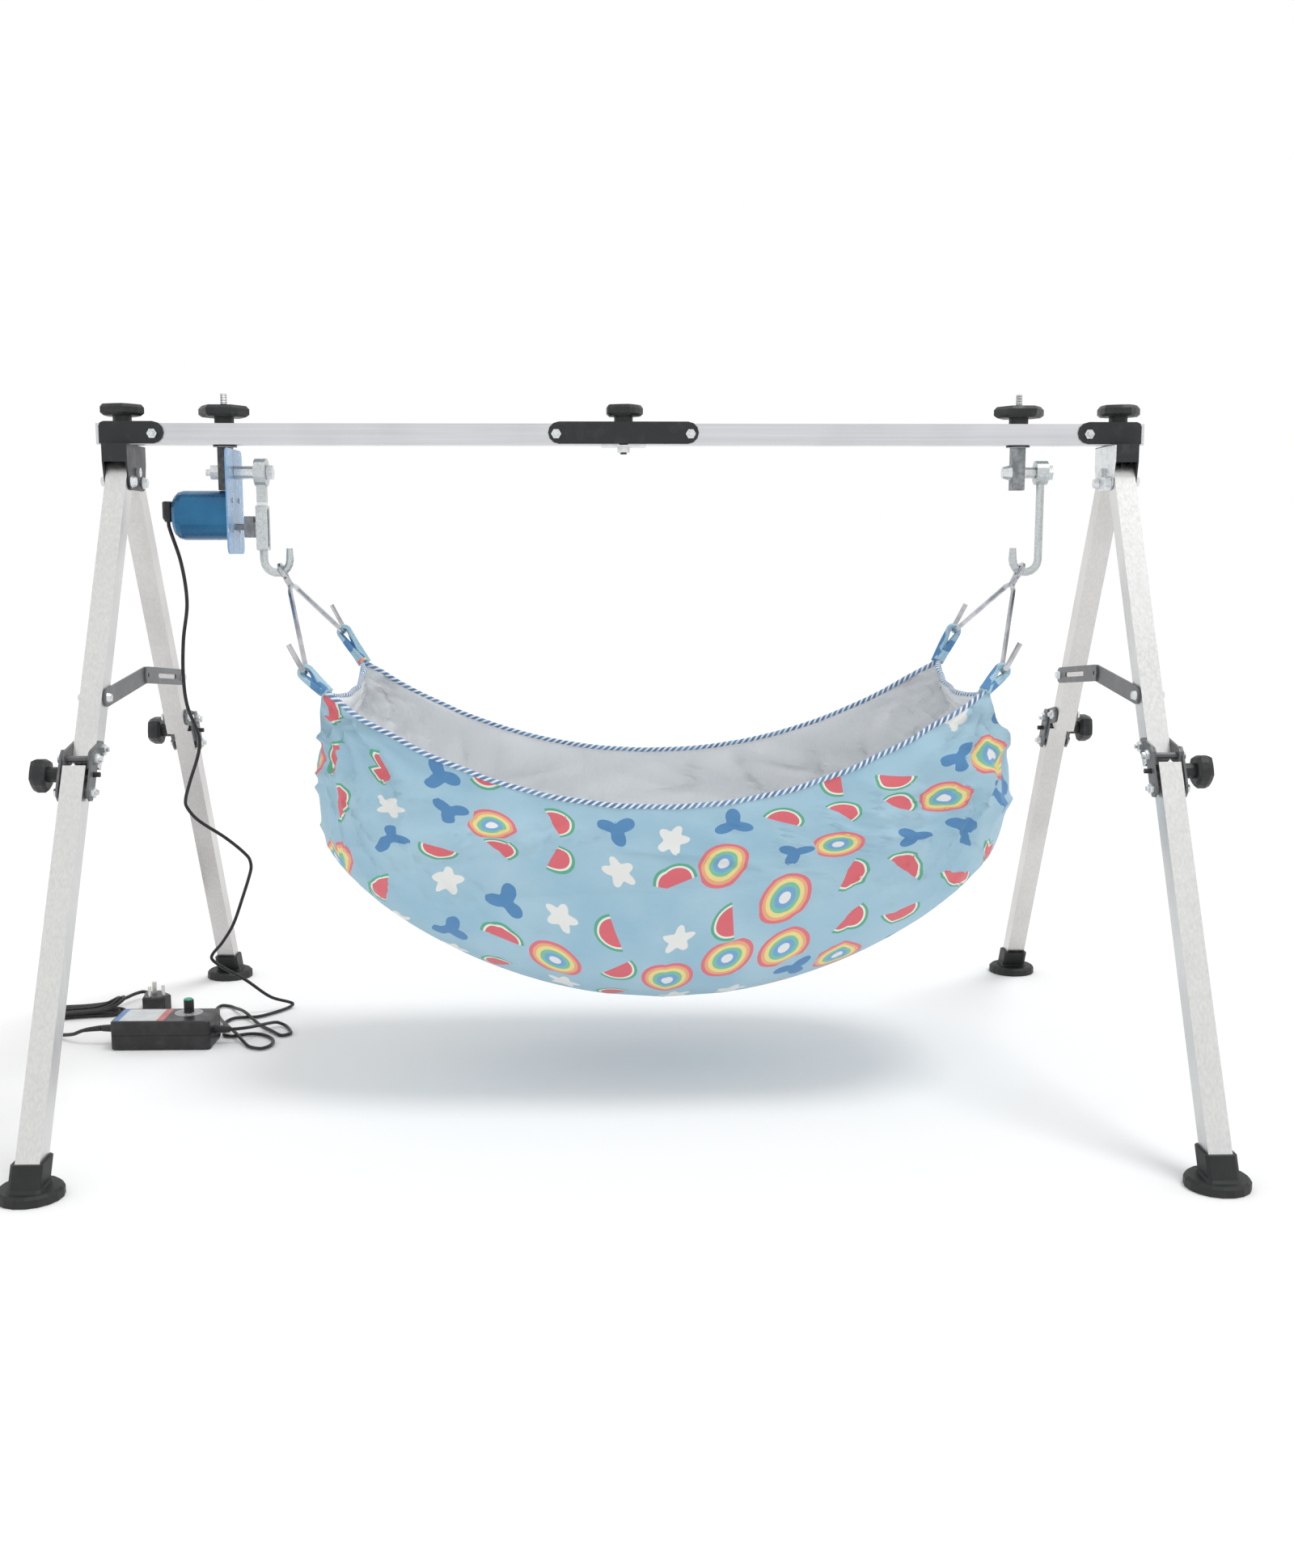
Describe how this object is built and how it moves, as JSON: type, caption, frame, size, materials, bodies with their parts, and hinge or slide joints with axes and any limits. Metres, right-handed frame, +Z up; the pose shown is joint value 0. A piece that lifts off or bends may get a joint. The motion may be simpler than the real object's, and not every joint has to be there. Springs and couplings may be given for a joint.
{
  "type": "swing cradle",
  "caption": "Folding tube stand with a motor-driven swing arm, a net-lined cloth cradle hung on bent wires, a speed controller and a coiled mains lead.",
  "frame": {"origin": "on the floor, midway between the four feet, below the middle of the top bar", "axes": "+X along the top bar, from the motor's end to the free end; -Y toward the side with the front legs; +Z up"},
  "size_m": [1.4812, 0.942, 0.843],
  "materials": {
    "aluminium": "satin drawn tube",
    "black_plastic": "fine grain moulding",
    "black_steel": "satin black powder coat",
    "blue_plastic": "satin moulding",
    "cable": "satin sheath",
    "chrome": "polished",
    "clear_blue": "smooth pale tint",
    "cotton": "printed woven cotton",
    "green_plastic": "satin moulding",
    "grey_steel": "dark grey sheet steel",
    "net": "fine knitted net",
    "rubber": "matt",
    "zinc": "bright zinc plate"
  },
  "bodies": {
    "stand": {"centre_bracket": "black_steel", "centre_clamp": "zinc", "controller_box": "black_plastic", "corner_bracket_left": "black_steel", "corner_bracket_right": "black_steel", "dc_plug": "black_plastic", "half_bar_left": "aluminium", "half_bar_right": "aluminium", "hanger_rod_left": "zinc", "hanger_rod_right": "zinc", "mains_cord": "cable", "mains_hank": "cable", "mains_plug": "black_plastic", "motor_cord": "cable", "motor_housing": "blue_plastic", "motor_plate": "clear_blue", "saddle_left": "black_steel", "saddle_right": "black_steel"},
    "leg_front_left": {"upper_leg_front_left": "aluminium", "knuckle_hook_front_left": "grey_steel"},
    "shin_front_left": {"lower_leg_front_left": "aluminium", "foot_front_left": "rubber", "knuckle_strap_front_left": "grey_steel"},
    "turnknob_front_left": {"knuckle_knob_front_left": "black_plastic"},
    "link_front_left": {"spreader_link_front_left": "grey_steel"},
    "leg_back_left": {"upper_leg_back_left": "aluminium", "knuckle_hook_back_left": "grey_steel"},
    "shin_back_left": {"lower_leg_back_left": "aluminium", "foot_back_left": "rubber", "knuckle_strap_back_left": "grey_steel"},
    "turnknob_back_left": {"knuckle_knob_back_left": "black_plastic"},
    "link_back_left": {"spreader_link_back_left": "grey_steel"},
    "leg_front_right": {"upper_leg_front_right": "aluminium", "knuckle_hook_front_right": "grey_steel"},
    "shin_front_right": {"lower_leg_front_right": "aluminium", "foot_front_right": "rubber", "knuckle_strap_front_right": "grey_steel"},
    "turnknob_front_right": {"knuckle_knob_front_right": "black_plastic"},
    "link_front_right": {"spreader_link_front_right": "grey_steel"},
    "leg_back_right": {"upper_leg_back_right": "aluminium", "knuckle_hook_back_right": "grey_steel"},
    "shin_back_right": {"lower_leg_back_right": "aluminium", "foot_back_right": "rubber", "knuckle_strap_back_right": "grey_steel"},
    "turnknob_back_right": {"knuckle_knob_back_right": "black_plastic"},
    "link_back_right": {"spreader_link_back_right": "grey_steel"},
    "corner_knob_left": {"corner_knob_left": "black_plastic"},
    "hanger_knob_left": {"hanger_knob_left": "black_plastic"},
    "arm_left": {"hook_arm_left": "zinc"},
    "corner_knob_right": {"corner_knob_right": "black_plastic"},
    "hanger_knob_right": {"hanger_knob_right": "black_plastic"},
    "arm_right": {"hook_arm_right": "zinc"},
    "centre_knob": {"centre_knob": "black_plastic"},
    "sling": {"wire_hanger_left": "chrome", "wire_hanger_right": "chrome", "sling_cloth": "cotton", "sling_net": "net"},
    "crank": {"drive_crank": "grey_steel"},
    "dial": {"controller_knob": "green_plastic"}
  },
  "joints": [
    {"name": "leg_front_left", "type": "hinge", "parent": "stand", "child": "leg_front_left", "pos_m": [-0.611, -0.0245, 0.737], "axis": [1, 0, 0], "range_deg": [0, 28]},
    {"name": "knuckle_front_left", "type": "hinge", "parent": "leg_front_left", "child": "shin_front_left", "pos_m": [-0.611, -0.2224, 0.42317], "axis": [-1, 0, 0], "range_deg": [0, 170]},
    {"name": "knuckle_knob_front_left", "type": "hinge", "parent": "shin_front_left", "child": "turnknob_front_left", "pos_m": [-0.611, -0.23108, 0.40684], "axis": [1, 0, 0], "continuous": true},
    {"name": "link_front_left", "type": "hinge", "parent": "leg_front_left", "child": "link_front_left", "pos_m": [-0.611, -0.15783, 0.48624], "axis": [1, 0, 0], "range_deg": [0, 47.8]},
    {"name": "leg_back_left", "type": "hinge", "parent": "stand", "child": "leg_back_left", "pos_m": [-0.611, 0.0245, 0.737], "axis": [-1, 0, 0], "range_deg": [0, 28]},
    {"name": "knuckle_back_left", "type": "hinge", "parent": "leg_back_left", "child": "shin_back_left", "pos_m": [-0.611, 0.2224, 0.42317], "axis": [1, 0, 0], "range_deg": [0, 170]},
    {"name": "knuckle_knob_back_left", "type": "hinge", "parent": "shin_back_left", "child": "turnknob_back_left", "pos_m": [-0.611, 0.23108, 0.40684], "axis": [1, 0, 0], "continuous": true},
    {"name": "link_back_left", "type": "hinge", "parent": "leg_back_left", "child": "link_back_left", "pos_m": [-0.611, 0.15783, 0.48624], "axis": [-1, 0, 0], "range_deg": [0, 47.8]},
    {"name": "leg_front_right", "type": "hinge", "parent": "stand", "child": "leg_front_right", "pos_m": [0.611, -0.0245, 0.737], "axis": [1, 0, 0], "range_deg": [0, 28]},
    {"name": "knuckle_front_right", "type": "hinge", "parent": "leg_front_right", "child": "shin_front_right", "pos_m": [0.611, -0.2224, 0.42317], "axis": [-1, 0, 0], "range_deg": [0, 170]},
    {"name": "knuckle_knob_front_right", "type": "hinge", "parent": "shin_front_right", "child": "turnknob_front_right", "pos_m": [0.611, -0.23108, 0.40684], "axis": [1, 0, 0], "continuous": true},
    {"name": "link_front_right", "type": "hinge", "parent": "leg_front_right", "child": "link_front_right", "pos_m": [0.611, -0.15783, 0.48624], "axis": [1, 0, 0], "range_deg": [0, 47.8]},
    {"name": "leg_back_right", "type": "hinge", "parent": "stand", "child": "leg_back_right", "pos_m": [0.611, 0.0245, 0.737], "axis": [-1, 0, 0], "range_deg": [0, 28]},
    {"name": "knuckle_back_right", "type": "hinge", "parent": "leg_back_right", "child": "shin_back_right", "pos_m": [0.611, 0.2224, 0.42317], "axis": [1, 0, 0], "range_deg": [0, 170]},
    {"name": "knuckle_knob_back_right", "type": "hinge", "parent": "shin_back_right", "child": "turnknob_back_right", "pos_m": [0.611, 0.23108, 0.40684], "axis": [1, 0, 0], "continuous": true},
    {"name": "link_back_right", "type": "hinge", "parent": "leg_back_right", "child": "link_back_right", "pos_m": [0.611, 0.15783, 0.48624], "axis": [-1, 0, 0], "range_deg": [0, 47.8]},
    {"name": "corner_knob_left", "type": "hinge", "parent": "stand", "child": "corner_knob_left", "pos_m": [-0.611, 0, 0.81], "axis": [0, 0, 1], "continuous": true},
    {"name": "hanger_knob_left", "type": "hinge", "parent": "stand", "child": "hanger_knob_left", "pos_m": [-0.4875, 0, 0.8077], "axis": [0, 0, 1], "continuous": true},
    {"name": "swing_left", "type": "hinge", "parent": "stand", "child": "arm_left", "pos_m": [-0.4875, 0, 0.749], "axis": [1, 0, 0], "range_deg": [-12, 12]},
    {"name": "corner_knob_right", "type": "hinge", "parent": "stand", "child": "corner_knob_right", "pos_m": [0.611, 0, 0.81], "axis": [0, 0, 1], "continuous": true},
    {"name": "hanger_knob_right", "type": "hinge", "parent": "stand", "child": "hanger_knob_right", "pos_m": [0.4875, 0, 0.8077], "axis": [0, 0, 1], "continuous": true},
    {"name": "swing_right", "type": "hinge", "parent": "stand", "child": "arm_right", "pos_m": [0.4875, 0, 0.749], "axis": [1, 0, 0], "range_deg": [-12, 12]},
    {"name": "centre_knob", "type": "hinge", "parent": "stand", "child": "centre_knob", "pos_m": [0, 0, 0.81], "axis": [0, 0, 1], "continuous": true},
    {"name": "sling_sway", "type": "hinge", "parent": "arm_left", "child": "sling", "pos_m": [-0.42163, 0, 0.62861], "axis": [1, 0, 0], "range_deg": [-10, 10]},
    {"name": "motor_crank", "type": "hinge", "parent": "stand", "child": "crank", "pos_m": [-0.4875, 0, 0.683], "axis": [1, 0, 0], "continuous": true},
    {"name": "speed_dial", "type": "hinge", "parent": "stand", "child": "dial", "pos_m": [-0.5865, 0.098, 0.039], "axis": [0, 0, 1], "range_deg": [0, 300]}
  ],
  "couplings": [
    {"joint": "leg_front_left", "follows": "knuckle_front_left", "ratio": 0.16471},
    {"joint": "link_front_left", "follows": "knuckle_front_left", "ratio": 0.28118},
    {"joint": "leg_back_left", "follows": "knuckle_front_left", "ratio": 0.16471},
    {"joint": "link_back_left", "follows": "knuckle_front_left", "ratio": 0.28118},
    {"joint": "knuckle_back_left", "follows": "knuckle_front_left", "ratio": 1},
    {"joint": "leg_front_right", "follows": "knuckle_front_right", "ratio": 0.16471},
    {"joint": "link_front_right", "follows": "knuckle_front_right", "ratio": 0.28118},
    {"joint": "leg_back_right", "follows": "knuckle_front_right", "ratio": 0.16471},
    {"joint": "link_back_right", "follows": "knuckle_front_right", "ratio": 0.28118},
    {"joint": "knuckle_back_right", "follows": "knuckle_front_right", "ratio": 1},
    {"joint": "swing_right", "follows": "swing_left", "ratio": 1}
  ]
}
